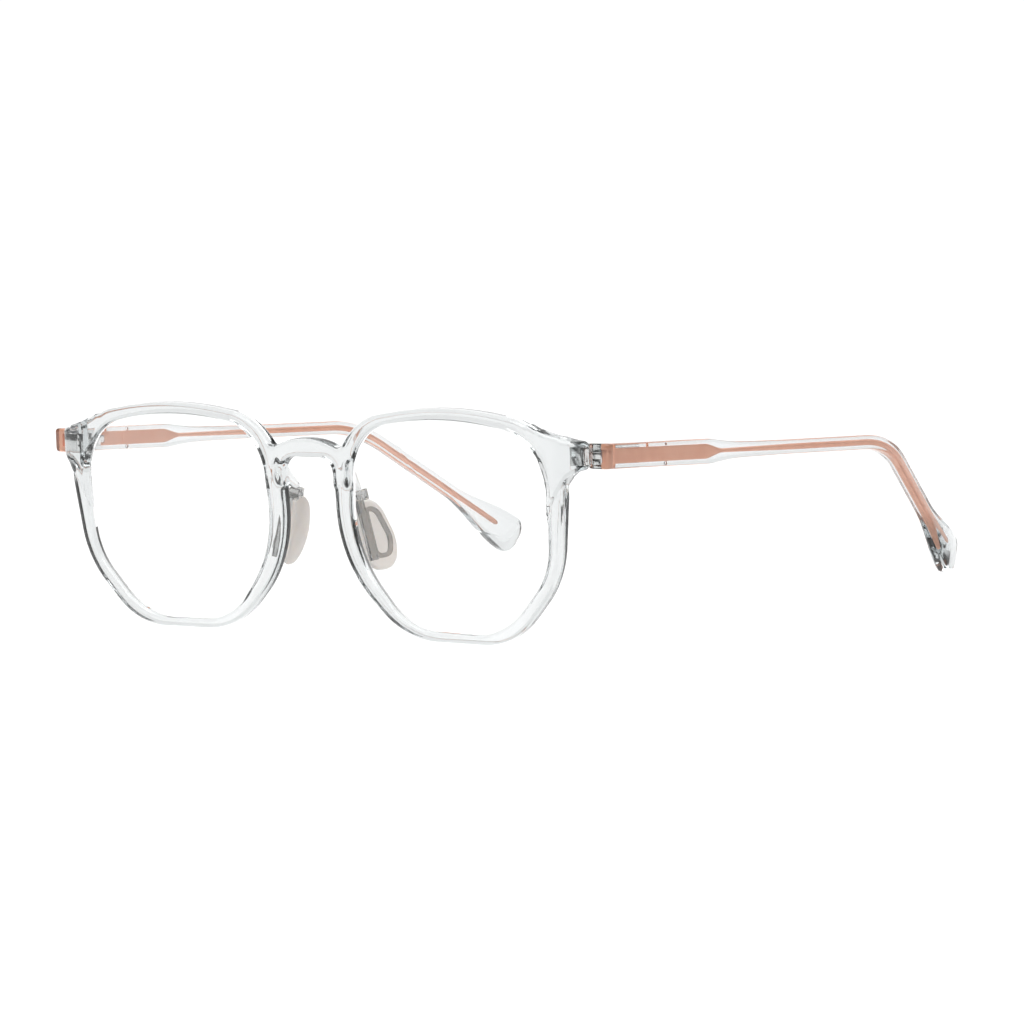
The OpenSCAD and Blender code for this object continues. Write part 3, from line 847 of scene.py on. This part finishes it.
def soften(node, slot, body, width, back=0.0):
    """Copies a CAD node's mesh, joins its flat faces, bevels its edges and may set it back.

    The bevel's width and the set-back are in metres.
    """
    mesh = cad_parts[node].data.copy()
    work = bmesh.new()
    work.from_mesh(mesh)
    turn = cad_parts[node].matrix_world.to_3x3()
    bmesh.ops.translate(work, verts=work.verts, vec=turn.inverted() @ Vector((0, back, 0)))
    bmesh.ops.remove_doubles(work, verts=work.verts, dist=1e-6)
    bmesh.ops.dissolve_limit(work, angle_limit=math.radians(1), verts=work.verts, edges=work.edges)
    sharp = [edge for edge in work.edges
             if len(edge.link_faces) == 2 and edge.calc_face_angle(0) > math.radians(40)]
    bmesh.ops.bevel(work, geom=sharp, offset=width, segments=2, profile=0.6, affect="EDGES",
                    clamp_overlap=True)
    work.to_mesh(mesh)
    work.free()
    mesh.shade_smooth()
    mesh.set_sharp_from_angle(angle=SHARP)
    piece = bpy.data.objects.new(node + "_visual", mesh)
    bpy.context.scene.collection.objects.link(piece)
    dress(piece, slot, body, node)


# ---- Studio ----

def build_studio():
    """Pale floor, one broad soft light, and a world that is white behind the glasses."""
    half = 30
    corners = [(-half, -half, 0), (half, -half, 0), (half, half, 0), (-half, half, 0)]
    mesh = bpy.data.meshes.new("floor")
    mesh.from_pydata(corners, [], [(0, 1, 2, 3)])
    floor = bpy.data.objects.new("floor", mesh)
    bpy.context.scene.collection.objects.link(floor)
    material, tree, shader = new_material("pale_floor")
    tint = add_ramp(tree, add_noise(tree, 3), (0.93, 0.93, 0.93), (0.95, 0.95, 0.95))
    tree.links.new(tint.outputs["Color"], shader.inputs["Base Color"])
    shader.inputs["Roughness"].default_value = 0.9
    shader.inputs["Specular IOR Level"].default_value = 0.1
    floor.data.materials.append(material)

    data = bpy.data.lights.new("soft_light", "SUN")
    data.energy = 2.5
    data.angle = math.radians(70)
    light = bpy.data.objects.new("soft_light", data)
    light.rotation_euler = (math.radians(28), math.radians(12), 0)
    bpy.context.scene.collection.objects.link(light)

    world = bpy.data.worlds.new("studio")
    bpy.context.scene.world = world
    world.use_nodes = True
    tree = world.node_tree
    background = tree.nodes["Background"]
    place = tree.nodes.new("ShaderNodeTexCoord")
    behind = tree.nodes.new("ShaderNodeVectorMath")
    behind.operation = "DOT_PRODUCT"
    behind.inputs[1].default_value = (-0.617, 0.787, 0.0)
    tree.links.new(place.outputs["Generated"], behind.inputs[0])
    # White where the world lies behind the glasses, and dark at their sides
    wall = tree.nodes.new("ShaderNodeMapRange")
    wall.inputs["From Min"].default_value = 0.35
    wall.inputs["From Max"].default_value = 0.80
    wall.inputs["To Min"].default_value = 0.10
    wall.inputs["To Max"].default_value = 1.06
    tree.links.new(behind.outputs["Value"], wall.inputs["Value"])
    split = tree.nodes.new("ShaderNodeSeparateXYZ")
    tree.links.new(place.outputs["Generated"], split.inputs["Vector"])
    # White overhead
    roof = tree.nodes.new("ShaderNodeMapRange")
    roof.inputs["From Min"].default_value = 0.55
    roof.inputs["From Max"].default_value = 0.90
    roof.inputs["To Max"].default_value = 0.95
    tree.links.new(split.outputs["Z"], roof.inputs["Value"])
    most = tree.nodes.new("ShaderNodeMath")
    most.operation = "MAXIMUM"
    tree.links.new(wall.outputs["Result"], most.inputs[0])
    tree.links.new(roof.outputs["Result"], most.inputs[1])
    tree.links.new(most.outputs[0], background.inputs["Strength"])
    background.inputs["Color"].default_value = (1, 1, 1, 1)


def build_camera():
    """Three-quarter view from the wearer's left, close to the ground."""
    azimuth, rise, roll = math.radians(38.12), math.radians(5.77), math.radians(-2.12)
    distance = 0.920
    target = Vector((0.04702, -0.0719, 0.02492))
    back = Vector((math.sin(azimuth) * math.cos(rise), -math.cos(azimuth) * math.cos(rise),
                   math.sin(rise)))
    right = Vector((math.cos(azimuth), math.sin(azimuth), 0))
    up = back.cross(right)
    level = right * math.cos(roll) + up * math.sin(roll)
    plumb = up * math.cos(roll) - right * math.sin(roll)
    data = bpy.data.cameras.new("camera")
    data.sensor_width = 36
    data.lens = 165.3
    data.shift_x = 0.0159
    data.shift_y = 0.0090
    data.clip_start = 0.01
    camera = bpy.data.objects.new("camera", data)
    turn = Matrix((level, plumb, back)).transposed()
    camera.matrix_world = Matrix.Translation(target + back * distance) @ turn.to_4x4()
    bpy.context.scene.collection.objects.link(camera)
    bpy.context.scene.camera = camera


build_camera()
build_studio()
build_front()
for name, side in SIDES.items():
    build_lens(f"lens_{name}", side)
    build_sheath(name, side)
    build_core(name, side)
    build_pad(f"nose_pad_{name}", side)
    soften(f"pad_insert_{name}", "clear_insert", "front", 0.00012)
    soften(f"hinge_front_{name}", "hinge_steel", "front", 0.0001, back=0.00003)
    soften(f"hinge_screw_{name}", "screw_steel", "front", 0.00006)
    soften(f"hinge_temple_{name}", "hinge_steel", f"{name}_temple", 0.0001)

scene = bpy.context.scene
scene.view_settings.view_transform = "Standard"
scene.cycles.max_bounces = 24
scene.cycles.transmission_bounces = 20
scene.cycles.transparent_max_bounces = 16
